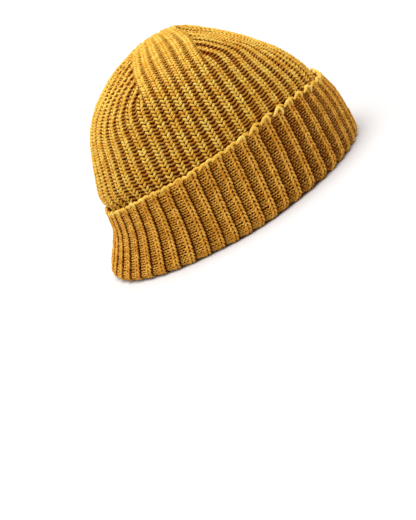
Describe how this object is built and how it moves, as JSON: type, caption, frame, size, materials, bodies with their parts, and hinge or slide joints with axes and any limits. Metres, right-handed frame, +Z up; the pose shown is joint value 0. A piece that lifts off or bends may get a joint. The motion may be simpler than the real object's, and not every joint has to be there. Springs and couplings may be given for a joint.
{
  "type": "knitted cap",
  "caption": "Ribbed knitted cap with a rounded crown drawn in under a strip over the top and a turned-up cuff.",
  "frame": {"origin": "middle of the cap's bounding box, on the plane of the fold that it rests on", "axes": "+X to the right as the picture shows the cap, -Y towards the viewer, +Z up to the closed top"},
  "size_m": [0.2358, 0.2074, 0.1511],
  "materials": {
    "crown_yarn": "mustard wool yarn, matte, ribbed",
    "cuff_yarn": "mustard wool yarn, matte, ribbed, other face out"
  },
  "bodies": {
    "root": {"crown": "crown_yarn", "cuff": "cuff_yarn"}
  },
  "joints": []
}
